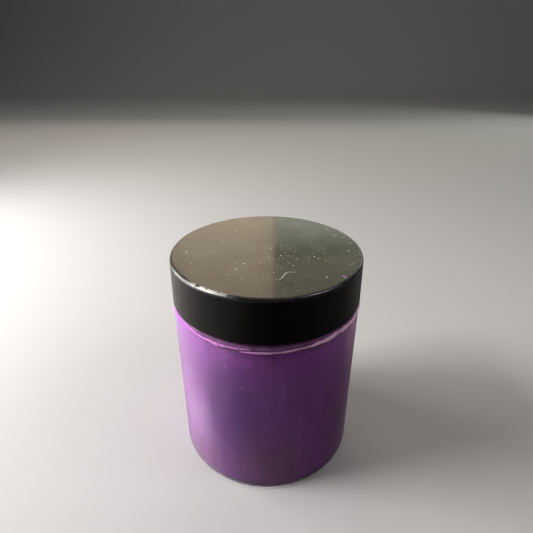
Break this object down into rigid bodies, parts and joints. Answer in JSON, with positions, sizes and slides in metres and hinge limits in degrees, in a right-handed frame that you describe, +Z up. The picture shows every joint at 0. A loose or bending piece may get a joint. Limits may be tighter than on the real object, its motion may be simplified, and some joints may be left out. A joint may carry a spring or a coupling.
{
  "type": "paint jar",
  "caption": "Straight-sided clear plastic jar of purple paint with a smooth flat-topped black screw lid, flush with the wall, that unscrews and lifts off.",
  "frame": {"origin": "centre of the base, on the plane the jar stands on", "axes": "+Z up along the jar's axis, which is also the lid's screw axis; +X and +Y are free, and the jar's thread starts at +X"},
  "size_m": [0.0724, 0.0724, 0.088],
  "materials": {
    "clear_plastic": "clear, slightly scuffed plastic",
    "paint": "thick wet purple paint",
    "black_plastic": "glossy black, dusty and finely scratched",
    "liner_foam": "white closed-cell foam"
  },
  "bodies": {
    "jar": {"jar_body": "clear_plastic", "paint": "paint"},
    "seal": {"lid_liner": "liner_foam"},
    "lid": {"lid": "black_plastic"}
  },
  "joints": [
    {"name": "lid_lift", "type": "slide", "parent": "jar", "child": "seal", "axis": [0, 0, 1], "range_m": [0, 0.01905]},
    {"name": "lid_turn", "type": "hinge", "parent": "seal", "child": "lid", "pos_m": [0, 0, 0.0845], "axis": [0, 0, 1], "range_deg": [0, 1620]}
  ],
  "couplings": [
    {"joint": "lid_lift", "follows": "lid_turn", "m_per_rad": 0.0006737}
  ]
}
